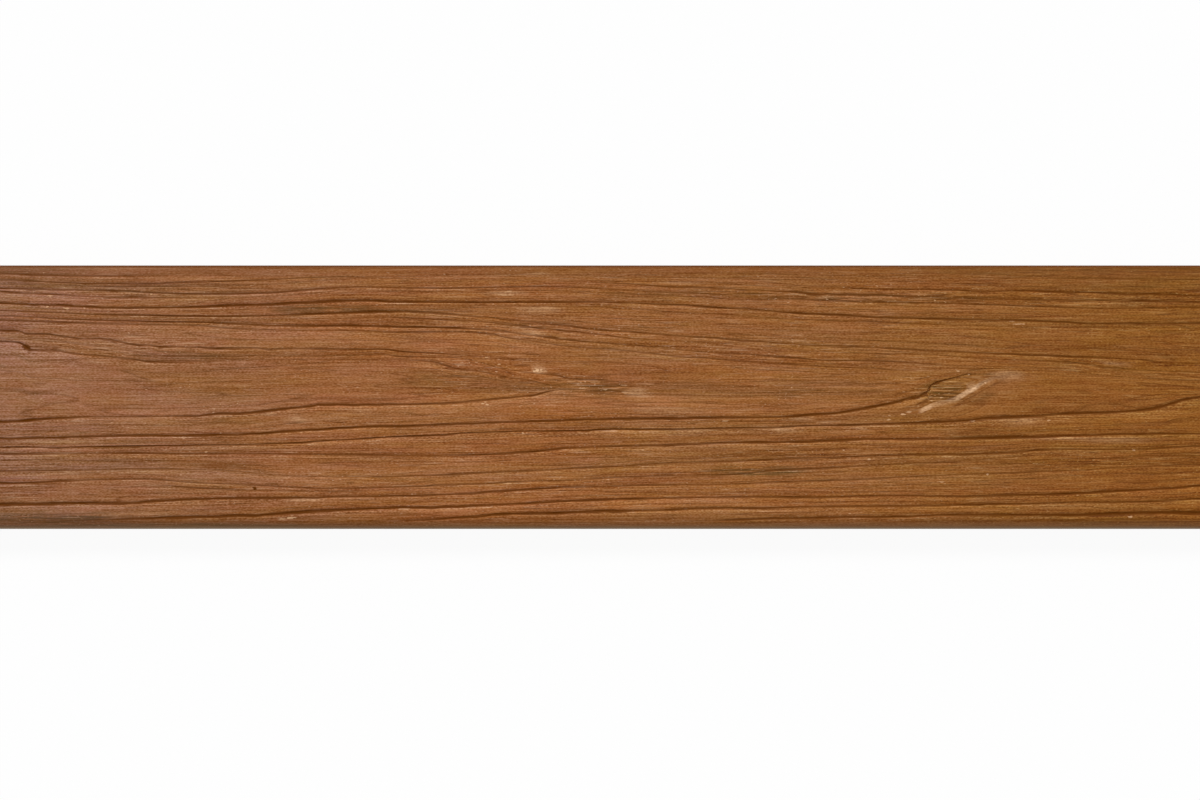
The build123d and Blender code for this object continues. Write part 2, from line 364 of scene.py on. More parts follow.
# Broad areas a little redder than the rest
WARM_AREAS = [
    (440, 400, 190, 190, 0.85), (620, 498, 330, 16, 1), (520, 318, 110, 14, 1),
]

# Areas where the pressed grain is broken up
ROUGH_AREAS = [
    (130, 347, 130, 13, 1), (90, 296, 130, 12, 0.6), (480, 362, 75, 14, 0.8), (590, 384, 70, 12, 1),
    (560, 330, 110, 12, 0.7), (760, 350, 140, 12, 0.7), (870, 296, 180, 11, 1), (1110, 299, 110, 9, 0.9),
    (930, 384, 60, 14, 0.9), (944, 391, 25, 11, 2.6), (918, 402, 22, 6, 1.2), (976, 372, 20, 6, 1.2),
    (598, 387, 38, 9.5, 1.9), (515, 371, 18, 6, 1.3), (330, 484, 90, 11, 0.8), (560, 482, 90, 8, 0.6),
    (840, 455, 120, 9, 0.5), (1060, 460, 120, 12, 0.6), (320, 421, 60, 9, 0.6), (60, 446, 90, 10, 0.5),
    (1110, 366, 90, 8, 0.7),
]

# The dark pit, and short dark dashes
PITS = [
    (28.3, 347.2, 4.2, 2.8, 0.95), (256, 488, 2.2, 1.5, 1), (503.5, 377.2, 4.4, 1.6, 0.75),
    (521, 365.9, 9, 0.7, 0.55), (510, 403.6, 9, 0.6, 0.4), (552, 374, 9, 0.6, 0.5),
    (588, 385.4, 9, 0.6, 0.45), (606, 383.6, 8, 0.7, 0.5), (597, 387.4, 6, 0.6, 0.5),
    (612, 387, 6, 0.7, 0.5), (619, 391.4, 6, 0.9, 0.45), (551, 382.6, 6, 0.8, 0.45),
    (590, 391, 9, 0.6, 0.4), (596, 379.6, 9, 0.7, 0.5), (610, 383.8, 10, 0.8, 0.5),
    (600, 393.8, 12, 0.6, 0.42), (623, 388.8, 5, 1.1, 0.45), (570, 384.2, 10, 0.6, 0.38),
    (568, 394.6, 10, 0.5, 0.35), (935, 391.6, 6, 0.6, 0.5), (938, 395, 7, 0.6, 0.5),
    (930, 399.4, 6, 0.6, 0.42), (952, 383.6, 8, 0.6, 0.5), (936, 387.2, 6, 0.6, 0.5),
    (944, 389.6, 9, 0.6, 0.6), (948, 393, 10, 0.7, 0.65), (952, 386, 8, 0.6, 0.45),
    (946, 396.4, 8, 0.7, 0.6), (956, 390.6, 5, 0.7, 0.5), (958, 382.8, 5, 0.6, 0.45),
    (985, 376.6, 6, 0.7, 0.4), (972, 369.6, 8, 0.6, 0.4),
]

# Single pale flecks
FLECKS = [
    (537.4, 370.3, 2.2, 1, 1), (534.6, 371.4, 1.4, 0.9, 0.75), (541.2, 369.8, 1.5, 0.9, 0.75),
    (542, 371.6, 1.2, 0.7, 0.55), (538, 373, 1.5, 0.6, 0.5), (536, 368.2, 1.3, 0.6, 0.5),
    (545.6, 371.2, 2.4, 0.6, 0.4), (926, 408.2, 3.6, 1.6, 0.45), (972.8, 388.4, 2.2, 1.1, 1),
    (984, 383, 1.3, 0.9, 0.6), (901.5, 414.3, 2.6, 0.8, 0.6), (907.5, 411.8, 2.6, 0.9, 0.4),
    (888, 415.6, 2, 0.6, 0.3), (940, 397.6, 1.6, 0.6, 0.45), (583, 388.3, 4.4, 0.6, 0.52),
    (605.4, 389.7, 2.2, 0.6, 0.45), (569, 381.6, 4, 0.4, 0.26), (595, 382.2, 5, 0.4, 0.24),
    (623, 385.2, 4, 0.6, 0.3), (624.5, 392.2, 3, 0.7, 0.36), (483.5, 403.6, 1.6, 0.7, 0.65),
    (487.6, 404.4, 1.6, 0.7, 0.6), (485.6, 402, 1.4, 0.5, 0.45), (487, 357.5, 1.8, 0.6, 0.45),
    (500, 364.5, 1.6, 0.6, 0.45), (292, 517.3, 5, 1, 0.8), (283, 518.4, 4, 0.9, 0.5),
    (505.5, 295.3, 8, 0.8, 0.42), (509, 292, 4, 0.7, 0.45), (153, 294.4, 1.5, 0.7, 0.55),
    (68, 308.8, 3, 0.9, 0.5), (49.5, 307.2, 1.3, 0.7, 0.55), (52, 296.3, 2.6, 0.7, 0.4),
    (986, 474.2, 1.3, 0.9, 0.6), (1132, 450, 1.5, 0.9, 0.6), (868, 459, 1.5, 0.8, 0.5),
    (843, 450, 1.8, 0.7, 0.45), (1128, 516.4, 2, 1.2, 0.6), (523, 433, 1.4, 0.8, 0.45),
    (971, 420.6, 2.6, 0.9, 0.65), (724, 421, 4, 0.8, 0.34), (887.5, 419.5, 2.2, 0.7, 0.5),
    (1047, 420.3, 2.2, 0.8, 0.45), (940, 481.5, 3, 0.7, 0.34), (1018, 324.3, 7, 0.6, 0.4),
    (1010, 321.6, 3, 0.6, 0.35), (406, 508.6, 6, 0.7, 0.36), (506, 483, 6, 0.6, 0.3),
    (685, 508.5, 2, 0.8, 0.4), (967.8, 374.6, 1.5, 0.8, 0.62), (956.4, 371.2, 1.6, 0.7, 0.5),
    (208, 452, 1.6, 0.8, 0.4), (186, 444.6, 1.4, 0.7, 0.45),
]

# The marks that have more of their kind beyond the photograph, each with the seed that scatters those.
# Then how many are drawn of a kind, how far they stay from the long edges in pixels, and the least and
# greatest half length, half width and strength.
SCATTERED = {
    "stain": (STAINS, 11), "glow": (GLOWS, 12), "rough": (ROUGH_AREAS, 13), "warm": (WARM_AREAS, 14),
}
SCATTERED_COUNT = 46
SCATTERED_MARGIN = 12
SCATTERED_RANGES = [(50, 150), (4, 11), (0.2, 0.6)]

# How a mark fades: its share at its middle, of which 1 is all that shows, and the fall over a half size
MARK_TOP = 1.5
MARK_FALL = 1.2

# The pale scar's bloom along its line, as photo column and strength, and its share on each of the line's
# rows; the scar also has its own half width in millimetres from the column where it is torn open
SCAR_BLOOM = [
    (917, 0), (921, 0.80), (929, 0.74), (932, 0.34), (936, 0.22), (946, 0.22), (952, 0.32), (957, 0.66),
    (968, 0.88), (975, 0.92), (978, 0.36), (988, 0.24), (1000, 0.10), (1010, 0),
]
SCAR_PROFILE = [0, 0.75, 1, 1, 0.75, 0]
SCAR_HALF_WIDTH = 1.15
SCAR_START = 905
SCAR_RUN_IN = 15

# How wide and deep a pressed line is in millimetres: at no strength, and for each unit of strength
LINE_HALF_WIDTH = 0.29
LINE_HALF_WIDTH_GAIN = 0.30
LINE_DEPTH_GAIN = 0.30

# The strength below which a line's dark narrows away, and the one from which it is as dark as it gets
LEAST_STRENGTH = 0.25
FULLY_DARK_STRENGTH = 1.7

# Rows of the mesh across one line, towards the far edge first: place in shoulder widths, share of the depth
# and the dark, and share of the painted highlight on the near shoulder, which faces the key
LINE_PROFILE = [
    (1.0, 0, 0), (0.62, 0.12, 0), (0.26, 1, 0), (-0.30, 1, 0), (-0.64, 0.12, 0.8), (-1.0, 0, 1),
]
SHOULDER_SHARE = 1.55
SHOULDER_ROOM = 0.9

# Painted shade on the board's long edges, how much darker they are than its face: photo row and share, and
# the share of the sides, which start this far in millimetres above where the arrises end
EDGE_PAINTED_SHADE = [
    (265.4, 1), (266.8, 1), (267.8, 0.60), (268.6, 0.42), (272, 0.38), (275, 0.22), (279, 0), (511, 0),
    (515, 0.12), (518, 0.29), (520, 0.37), (522, 0.41), (525, 0.24), (529, 0.08),
]
SIDE_PAINTED_SHADE = 0.15
SIDE_START = 0.1

# How much painted sheen, a grey reflection of the pale surroundings, is on the near arris: photo row and
# share, and the sides' share
ARRIS_PAINTED_SHEEN = [(521.5, 0), (524, 0.10), (525, 0.16), (526, 0.30), (527, 0.76), (528.9, 0.9)]
SIDE_PAINTED_SHEEN = 0.60

# How a painted sheen, a pale veil of reflected light, drifts along the photograph: photo column, and from 1
# for pinkish to -1 for ochre
SHEEN_DRIFT = [
    (0, 1), (60, 0.76), (130, 0.58), (250, 0.35), (350, 0.22), (450, 0.10), (620, -0.01), (750, -0.11),
    (850, -0.30), (950, -0.55), (1050, -0.78), (1150, -0.96), (1200, -1),
]
SHEEN_WANDER = 0.9
SHEEN_WAVES = (2300, 1370, 760)
SHEEN_RUN_IN = 500
SHEEN_SEED = 71

# Where the loose grain between the lines fades out: over this width before the face's long sides, in
# millimetres, and where rows come closer together than a share of their usual distance
LOOSE_FADE = 3.5
LOOSE_FADE_END = 0.5
CROWDED_SHARE = 0.12
CROWDED_FADE = 0.25

# The mesh's columns: spacing in millimetres in the photographed stretch, which has a margin in pixels,
# and beyond it. Where the grain turns sharply, a stretch of photo columns has its own closer spacing.
SHOWN_SPACING = 5.2
SHOWN_MARGIN = 30.0
BEYOND_SPACING = 13.0
CLOSE_STRETCHES = [
    (14, 42, 1.3), (428, 460, 1.7), (496, 512, 1.8), (530, 570, 1.9), (896, 920, 1.8), (920, 934, 0.6),
    (934, 1006, 2.0),
]

# How far the edges of the sawn ends are eased, in millimetres
SAWN_EASE = 0.3

# Rows of the mesh round each arris and down each long side, and how far in millimetres a flat's second
# row is from its first
ARRIS_ROWS = 4
SIDE_ROWS = 4
FLAT_INSET = 1.0

# How the grain is pressed in: the tree's inputs, their lengths in metres, and what makes it ragged
PRESSING = {
    "Press Scale": 1.0, "Raggedness": 0.35, "Wave Depth": 0.00016, "Wave Length": 0.16,
    "Wave Spacing": 0.009, "Grain Seed": 7.0,
}
RAGGED_LENGTH = 0.011
RAGGED_SPACING = 0.006
FINISHES = ("Face Finish", "Underside Finish", "Sawn Finish")

# Colours of the composite, in linear light
LIGHT_COLOUR = (0.448, 0.190, 0.058, 1)
DEEP_COLOUR = (0.118, 0.025, 0, 1)
# Colour of the painted highlight on the grooves' near shoulders
RIM_HIGHLIGHT_COLOUR = (0.520, 0.245, 0.085, 1)
# Dark of the grooves, partly painted shade; also the painted shade of the long edges
GROOVE_COLOUR = (0.105, 0.027, 0, 1)
STAIN_COLOUR = (0.115, 0.056, 0.016, 1)
PALE_COLOUR = (0.800, 0.500, 0.310, 1)
BLOOM_COLOUR = (0.780, 0.480, 0.265, 1)
# Grey of the painted sheen on the near arris and the sides
ARRIS_SHEEN_COLOUR = (0.300, 0.195, 0.112, 1)

# What the body's colour is multiplied by where the board is warm, and where the painted sheen makes it
# pinkish or ochre
PINKISH_SHEEN_TINT = (1, 1.125, 1.96, 1)
WARM_TINT = (1.05, 0.985, 0.93, 1)
OCHRE_SHEEN_TINT = (0.85, 0.79, 0.44, 1)

# Colour of the light from all around
SKY_COLOUR = (1, 1, 1, 1)

# What is drawn on the face, its underside and its sawn ends: streaks or dashes, what they run along,
# length and spacing in millimetres, detail of the streaks or rarity of the dashes, and seed
FACE_DRAWING = {
    "band": ("streaks", "grain", 280, 8, 2, 1),
    "streak": ("streaks", "grain", 75, 1.2, 2.5, 2),
    "brush": ("streaks", "board", 55, 0.46, 1, 3),
    "nap": ("streaks", "board", 6, 0.46, 1, 16),
    "grit": ("streaks", "board", 1.3, 0.5, 0, 7),
    "rib": ("streaks", "board", 12, 0.9, 1, 17),
    "fine_red": ("streaks", "grain", 14, 1.2, 2, 15),
    "bunch": ("streaks", "grain", 30, 4, 2, 10),
    "red_drift": ("streaks", "grain", 120, 10, 3, 8),
    "blue_drift": ("streaks", "grain", 50, 5, 3, 9),
    "hair": ("streaks", "grain", 100, 2.8, 1, 6),
    "waver": ("streaks", "grain", 9, 4, 2.5, 31),
    "swell": ("streaks", "grain", 22, 5, 2, 32),
    "step": ("streaks", "board", 12, 1.2, 1, 33),
    "pale_dot": ("dashes", "board", 1.8, 0.6, 0.84, 4),
    "pale_hair": ("dashes", "board", 16, 0.6, 0.70, 14),
    "dark_dash": ("dashes", "grain", 14, 0.7, 0.74, 5),
}
UNDERSIDE_DRAWING = {
    "band": ("streaks", "board", 500, 12, 2, 11),
    "die_line": ("streaks", "board", 900, 1.1, 2, 12),
    "scuff": ("dashes", "board", 12, 1, 0.82, 13),
}
SAWN_DRAWING = {"saw_mark": ("streaks", "saw", 1.4, 50, 2, 21)}

# How streaks, dashes and flecks are drawn: the noise at a streak's 0 and at its 1, how far above its
# rarity a dash is full, and the squared distance from a fleck's middle, in half sizes, where its share
# is 0, where it is 1 and beyond which it never shows. Flecks show above this height in metres, and are
# drawn this much larger than they are listed.
STREAK_SPAN = (0.28, 0.72)
DASH_SOFTNESS = 0.14
FLECK_SPAN = (0.78, 0.42)
FLECK_END = 1.6
FLECK_FLOOR = 0.02
FLECK_GROWTH = 1.25

# The dark of a pressed line: how far it wavers on a smooth face and how much more on a rough one, how
# far from its middle its share is 0 and 1, and the share of the groove from which it shows
SMOOTH_WAVER = 0.36
ROUGH_WAVER = 0.70
DARK_SPAN = (0.66, 0.24)
GROOVE_START = 0.004

# Drifts of colour over the face: the streaks that each is made of, its low tint and its high one
DRIFTS = [
    ({"red_drift": 0.9, "fine_red": 0.7}, (1, 0.90, 0.86, 1), (1, 1.09, 1.13, 1)),
    ({"blue_drift": 0.9, "lightness": 0.84}, (1, 1, 0.74, 1), (1, 1, 1.27, 1)),
    ({"brush": 1.0, "nap": 0.5, "grit": 0.8}, (1, 0.955, 0.87, 1), (1, 1.045, 1.13, 1)),
]

# Shares in the face's colour: lightness of the glow, half width and share of a hairline, share of a
# dark dash on a smooth face and how much more on a rough one, that of pale specks on a rough one, and
# how much more pale dots show than pale hairs
GLOW_LIGHTNESS = 0.2
HAIR_HALF_WIDTH = 0.045
HAIR_SHARE = 0.42
SMOOTH_DASH_SHARE = 0.26
ROUGH_DASH_SHARE = 0.30
ROUGH_SPECK_SHARE = 0.10
DOT_GAIN = 2.1

# Roughness that a groove adds, and how deep the dark dashes and the brushing are in the face's relief
GROOVE_ROUGHNESS = 0.15
DASH_DEPTH = 0.6
BRUSH_DEPTH = 0.30

# Share of the underside's pale scuffs. For the sawn ends, how fine the wood's grains and its flour are,
# how far from a speck of flour its share is 0 and 1, and its share in the colour.
SCUFF_SHARE = 0.2
GRAINS_SCALE = 900.0
FLOUR_SCALE = 700.0
FLOUR_SPAN = (0.28, 0.12)
FLOUR_SHARE = 0.35

# Depths of the fine relief in metres, and how much of a mirror the composite is
FACE_RELIEF = 0.00012
UNDERSIDE_RELIEF = 0.00008
SAWN_RELIEF = 0.0002
SPECULAR_LEVEL = 0.06

# Soft studio light: the key's tilt from upright towards the far edge, its turn about the upright, its
# share of the whole light, and how wide it looks from the board
KEY_TILT = math.radians(38)
KEY_SWING = math.radians(-12)
KEY_SHARE = 0.60
KEY_SOFTNESS = math.radians(16)

# The floor's half width in metres, its colour, and how much of it shows as plain white
FLOOR_HALF = 60.0
FLOOR_COLOUR = (0.86, 0.86, 0.86, 1)
FLOOR_WHITE_SHARE = 0.94

# The camera's focal length and film width, and the nearest and farthest that it sees in metres
LENS = 85.0
SENSOR = 36.0
CLIP_START = 0.05
CLIP_END = 200.0


def column_to_x(column):
    """Place along the board of a photo column, in millimetres."""
    return (np.asarray(column, float) - PHOTO_MIDDLE) * MM_PER_PIXEL


def row_to_y(row):
    """Place across the board of a photo row, in millimetres."""
    return (BOARD_MIDDLE_ROW - np.asarray(row, float)) * MM_PER_PIXEL


def smooth_step(t):
    t = np.clip(t, 0, 1)
    return t * t * (3 - 2 * t)


def smooth_curve(knots, values, places):
    """A smooth curve through the points, which never swings past them, read at the places."""
    knots = np.asarray(knots, float)
    values = np.asarray(values, float)
    spans = np.diff(knots)
    slopes = np.diff(values) / spans
    before, after = slopes[:-1], slopes[1:]
    weight_before = 2 * spans[1:] + spans[:-1]
    weight_after = spans[1:] + 2 * spans[:-1]
    with np.errstate(divide="ignore", invalid="ignore"):
        mean = (weight_before + weight_after) / (weight_before / before + weight_after / after)
    tangents = np.concatenate([slopes[:1], np.where(before * after > 0, mean, 0), slopes[-1:]])
    i = np.clip(np.searchsorted(knots, places) - 1, 0, len(spans) - 1)
    h = spans[i]
    t = np.clip((places - knots[i]) / h, 0, 1)
    return (
        (1 + 2 * t) * (1 - t) ** 2 * values[i]
        + t * (1 - t) ** 2 * h * tangents[i]
        + t * t * (3 - 2 * t) * values[i + 1]
        - t * t * (1 - t) * h * tangents[i + 1]
    )


def board_columns():
    """Places of the mesh's columns along the board, in photo columns, close where the grain turns."""
    start = PHOTO_MIDDLE - HALF_LENGTH_PIXELS
    end = PHOTO_MIDDLE + HALF_LENGTH_PIXELS
    edges = [start, -SHOWN_MARGIN]
    steps = [BEYOND_SPACING]
    for first, last, spacing in CLOSE_STRETCHES:
        edges += [first, last]
        steps += [SHOWN_SPACING, spacing]
    edges += [PHOTO_COLUMNS + SHOWN_MARGIN, end]
    steps += [SHOWN_SPACING, BEYOND_SPACING]
    ease = SAWN_EASE / MM_PER_PIXEL
    places = [start, start + ease, end - ease]
    for first, last, step in zip(edges, edges[1:], steps):
        count = max(2, round((last - first) * MM_PER_PIXEL / step) + 1)
        places.extend(np.linspace(first, last, count)[1:])
    return np.unique(np.round(places, 4))


def wander(columns, seed, size, waves):
    """A smooth wandering value along the board, from a few seeded waves."""
    rng = np.random.default_rng(seed)
    value = sum(np.sin(2 * math.pi * (columns / wave + rng.random())) for wave in waves)
    return value * size / len(waves)


def line_places(columns):
    """Each line's photo row and strength at each column; both come round again with the roller."""
    phase = np.mod(columns, ROLLER_PITCH)
    beyond = np.clip((np.abs(columns - PHOTO_MIDDLE) - PHOTO_MIDDLE) / WANDER_RUN_IN, 0, 1)
    rows, strengths = [], []
    for number, points in enumerate(GRAIN_LINES.values()):
        points = points + [(ROLLER_PITCH, *points[0][1:])]
        places, heights, pressed = np.array([(*point, 0)[:3] for point in points]).T
        aside = wander(columns, WANDER_SEED + number // LINES_PER_SEED, LINE_WANDER, WANDER_WAVES)
        rows.append(smooth_curve(places, heights, phase) + beyond * aside)
        strengths.append(smooth_curve(places, pressed, phase))
    return np.array(rows), np.array(strengths)


def settle_rows(columns):
    """Rows of lines and lands from the far edge to the near one, the lands evenly between the lines."""
    own, strengths = line_places(columns)
    for _ in range(SETTLING_ROUNDS):
        short = np.maximum(LEAST_LINE_GAP - np.diff(own, axis=0), 0) / 2
        own[:-1] -= short
        own[1:] += short
    reach = FACE_ROWS_HALF / MM_PER_PIXEL
    far_row = np.full(len(columns), BOARD_MIDDLE_ROW - reach)
    lines = [*own, np.full(len(columns), BOARD_MIDDLE_ROW + reach)]
    kinds = [None, None]
    settled = [far_row, (far_row + own[0]) / 2]
    for number, name in enumerate(LINE_NAMES):
        lands = LAND_ROWS.get(name, USUAL_LAND_ROWS)
        kinds += [number] + [None] * lands
        for land in range(lands + 1):
            share = land / (lands + 1)
            settled.append(lines[number] * (1 - share) + lines[number + 1] * share)
    return [*kinds, None], np.array([*settled, lines[-1]]), strengths


def section_height(y):
    """Height of the walking face at a place across the board, before the grain is pressed in."""
    over = np.clip(np.abs(y) - (BOARD_WIDTH / 2 - FACE_ARRIS_RADIUS), 0, FACE_ARRIS_RADIUS)
    return BOARD_THICKNESS - FACE_ARRIS_RADIUS + np.sqrt(FACE_ARRIS_RADIUS**2 - over**2)


def face_rows(columns):
    """Face rows from the far edge to the near one, the line of each, and what their vertices carry."""
    kinds, settled, strengths = settle_rows(columns)
    plain = np.zeros(len(columns))
    rows, owners = [], []
    for index, (kind, row) in enumerate(zip(kinds, settled)):
        if kind is None:
            rows.append((row, plain, plain, plain, plain, plain))
            owners.append(None)
            continue
        strength = np.clip(strengths[kind], 0, None)
        half_width = (LINE_HALF_WIDTH + LINE_HALF_WIDTH_GAIN * strength) / MM_PER_PIXEL
        half_width = half_width * np.hypot(1, np.gradient(row, columns))
        if LINE_NAMES[kind] == "scar":
            torn = smooth_step((columns - SCAR_START) / SCAR_RUN_IN)
            half_width = np.maximum(half_width, torn * SCAR_HALF_WIDTH / MM_PER_PIXEL)
        room = np.diff(settled[index - 1: index + 2], axis=0) * SHOULDER_ROOM
        darkness = np.clip(strength / FULLY_DARK_STRENGTH, 0, 1)
        # The profile's last share is the painted highlight on the near shoulder
        for place, share, rim_lit in LINE_PROFILE:
            reach = np.minimum(half_width * SHOULDER_SHARE, room[0 if place > 0 else 1])
            press = share * LINE_DEPTH_GAIN * strength
            groove = share * smooth_step(strength / LEAST_STRENGTH)
            rows.append((row - place * reach, press, groove, darkness, rim_lit * darkness, plain + place))
            owners.append(kind)
    rows, press, groove, dark, rim, side = np.array(rows).transpose(1, 0, 2)
    dark = spread_to_lands(dark, owners)
    return rows, owners, {"press": press, "groove": groove, "dark": dark, "rim": rim, "side": side}


def spread_to_lands(values, owners):
    """Gives each land row the greater of its neighbouring lines' values, so that they don't fade away."""
    filled = values.copy()
    for index, owner in enumerate(owners):
        if owner is None:
            filled[index] = values[max(index - 1, 0): index + 2].max(axis=0)
    return filled


def sink_areas(columns, press, owners):
    """Presses in the areas between two lines, softly at their ends."""
    for upper, lower, start, end, depth in SUNK_AREAS:
        first = max(i for i, owner in enumerate(owners) if owner == LINE_NAMES.index(upper)) - SUNK_REACH
        last = owners.index(LINE_NAMES.index(lower)) + SUNK_REACH
        taper = (end - start) * SUNK_EASE
        shape = smooth_step((columns - start) / taper) * smooth_step((end - columns) / taper)
        press[first:last] = np.maximum(press[first:last], depth * shape)


def arris_points(radius, centre_y, centre_z, start, end):
    """Points of a rounded arris of the section, both ends left out."""
    turns = np.radians(np.linspace(start, end, ARRIS_ROWS + 2)[1:-1])
    return [(centre_y + radius * math.cos(a), centre_z + radius * math.sin(a)) for a in turns]


def outer_section():
    """The rest of the section, from the near side of the face round below to the far side of it."""
    half = BOARD_WIDTH / 2
    r, u = FACE_ARRIS_RADIUS, UNDERSIDE_ARRIS_RADIUS
    top = BOARD_THICKNESS - r
    turned = math.degrees(math.asin((FACE_ROWS_HALF - (half - r)) / r))
    near = arris_points(r, r - half, top, 90 + turned, 180)
    side = [(-half, top), (-half, top - FLAT_INSET), (-half, u + FLAT_INSET), (-half, u)]
    lower = arris_points(u, u - half, u, 180, 270)
    underside = [(u - half, 0.0), (u - half + FLAT_INSET, 0.0), (-half / 2, 0.0)]
    near_half = near + side + lower + underside
    return near_half + [(0.0, 0.0)] + [(-y, z) for y, z in reversed(near_half)]


def section_rings(rows):
    """Places across and heights of the whole section's rows at each column, eased at the sawn ends."""
    face_y = row_to_y(rows)
    along = np.ones(rows.shape[1])
    outer_y, outer_z = np.array(outer_section()).T
    ring_y = np.vstack([face_y, np.outer(outer_y, along)])
    ring_z = np.vstack([section_height(face_y), np.outer(outer_z, along)])
    eased = np.zeros_like(ring_y)
    eased[:, [0, -1]] = SAWN_EASE
    ring_y -= np.sign(ring_y) * np.minimum(eased, np.abs(ring_y))
    ring_z -= np.sign(ring_z - BOARD_THICKNESS / 2) * eased
    return ring_y, ring_z


def closed_mesh(columns, ring_y, ring_z):
    """The closed mesh of the section's rows, with a face on each sawn end."""
    ring, count = ring_y.shape
    x = np.broadcast_to(column_to_x(columns), ring_y.shape)
    points = np.stack([x, ring_y, ring_z], axis=-1).transpose(1, 0, 2).reshape(-1, 3) * MM
    i = np.arange(count - 1)[:, None] * ring
    j = np.arange(ring)[None, :]
    k = (j + 1) % ring
    quads = np.stack([i + j, i + k, i + ring + k, i + ring + j], axis=-1).reshape(-1, 4)
    ends = [list(range(ring))[::-1], list(range((count - 1) * ring, count * ring))]
    mesh = bpy.data.meshes.new("deck_board_pressed")
    mesh.from_pydata(points.tolist(), [], quads.tolist() + ends)
    return mesh


def board_blank():
    """The board's closed mesh with its rows laid along the grain, before the grain is pressed in."""
    columns = board_columns()
    rows, owners, pressed = face_rows(columns)
    sink_areas(columns, pressed["press"], owners)
    ring_y, ring_z = section_rings(rows)
    ring, count = ring_y.shape
    mesh = closed_mesh(columns, ring_y, ring_z)

    grain = grain_coordinates(columns, rows, ring_y, ring_z)
    corners = np.zeros(len(mesh.loops), np.int32)
    mesh.loops.foreach_get("vertex_index", corners)
    layer = mesh.uv_layers.new(name="grain")
    layer.data.foreach_set("uv", grain[corners].astype(np.float32).ravel())

    carried = dict(pressed)
    for name, (marks, seed) in SCATTERED.items():
        carried[name] = face_marks(columns, rows, marks + scattered_marks(seed))
    carried["bloom"] = face_bloom(columns, rows, owners)
    carried["face"] = loose_share(columns, rows, ring_y)
    carried = {name: pad_rows(values, ring) for name, values in carried.items()}
    # Painted shade along the long edges and down the sides
    carried["edge"] = edge_share(ring_y, ring_z, EDGE_PAINTED_SHADE, SIDE_PAINTED_SHADE)
    # Painted sheen on the near arris and the sides
    carried["grey"] = edge_share(ring_y, ring_z, ARRIS_PAINTED_SHEEN, SIDE_PAINTED_SHEEN)
    # The painted sheen's drift along the board
    carried["tone"] = np.broadcast_to(sheen_drift(columns), ring_y.shape)
    for name, values in carried.items():
        attribute = mesh.attributes.new(name, "FLOAT", "POINT")
        attribute.data.foreach_set("value", values.T.astype(np.float32).ravel())
    mark_faces(mesh, len(rows), ring, count)
    return mesh


def edge_share(ring_y, ring_z, shares_by_row, side_share):
    """A share that goes by the photo row on the face and its arrises, and is the same below them."""
    places, shares = zip(*shares_by_row)
    seen = np.interp(BOARD_MIDDLE_ROW - ring_y / MM_PER_PIXEL, places, shares)
    return np.where(ring_z > BOARD_THICKNESS - FACE_ARRIS_RADIUS + SIDE_START, seen, side_share)


def sheen_drift(columns):
    """The slow drift of the painted sheen along the board, as shown in the photographed stretch and seeded
    beyond it.
    """
    places, tones = zip(*SHEEN_DRIFT)
    shown = smooth_curve(places, tones, np.clip(columns, 0, PHOTO_COLUMNS))
    share = smooth_step(np.maximum(-columns, columns - PHOTO_COLUMNS) / SHEEN_RUN_IN)
    return shown * (1 - share) + share * wander(columns, SHEEN_SEED, SHEEN_WANDER, SHEEN_WAVES)


def mean_rows(columns, rows):
    """Each row's mean photo row in the photographed stretch."""
    return rows[:, (columns > 0) & (columns < PHOTO_COLUMNS)].mean(axis=1)


def loose_share(columns, rows, ring_y):
    """How much of the loose grain a place of the face carries."""
    spread = np.gradient(rows, axis=0) / np.gradient(mean_rows(columns, rows))[:, None]
    calm = smooth_step((spread - CROWDED_SHARE) / CROWDED_FADE)
    inwards = FACE_ROWS_HALF - LOOSE_FADE_END - np.abs(ring_y[:len(rows)])
    return calm * smooth_step(inwards / LOOSE_FADE)


def pad_rows(values, ring):
    """The face's values, with none on the rest of the section."""
    return np.vstack([values, np.zeros((ring - len(values), values.shape[1]))])


def grain_coordinates(columns, rows, ring_y, ring_z):
    """The grain's own coordinates in metres: place along the board, and along the section by rows."""
    on_face = -row_to_y(mean_rows(columns, rows))
    first = len(rows) - 1
    step = np.hypot(np.diff(ring_y[first:, 1]), np.diff(ring_z[first:, 1]))
    across = np.concatenate([on_face, on_face[-1] + np.cumsum(step)])
    along, across = np.meshgrid(column_to_x(columns), across, indexing="ij")
    return np.stack([along, across], axis=-1).reshape(-1, 2) * MM


def soft_mark(columns, rows, mark):
    """How much of a soft oval mark is at each place: its strength round its middle, 0 beyond its edge."""
    column, row, half_length, half_width, strength = mark
    reach = np.hypot((columns - column) / half_length, (rows - row) / half_width)
    return strength * smooth_step(MARK_TOP - MARK_FALL * reach)


def scattered_marks(seed):
    """Marks scattered over the board, less the ones that reach into the photographed stretch."""
    rng = np.random.default_rng(seed)
    marks = []
    for _ in range(SCATTERED_COUNT):
        column = PHOTO_MIDDLE + rng.uniform(-HALF_LENGTH_PIXELS, HALF_LENGTH_PIXELS)
        row = rng.uniform(FAR_EDGE_ROW + SCATTERED_MARGIN, NEAR_EDGE_ROW - SCATTERED_MARGIN)
        half_length, half_width, strength = (rng.uniform(*span) for span in SCATTERED_RANGES)
        if abs(column - PHOTO_MIDDLE) >= PHOTO_MIDDLE + half_length:
            marks.append((column, row, half_length, half_width, strength))
    return marks


def face_marks(columns, rows, marks):
    """The marks together: the greatest of their shares at each place of the face."""
    value = np.zeros(rows.shape)
    for mark in marks:
        value = np.maximum(value, soft_mark(columns, rows, mark))
    return value


def face_bloom(columns, rows, owners):
    """Pale bloom: the knot, a few patches of wear and the scar along its own line."""
    value = face_marks(columns, rows, BLOOMS)
    places, strengths = zip(*SCAR_BLOOM)
    along = np.interp(columns, places, strengths)
    first = owners.index(LINE_NAMES.index("scar"))
    for index, share in enumerate(SCAR_PROFILE, first):
        value[index] = np.maximum(value[index], share * along)
    return value


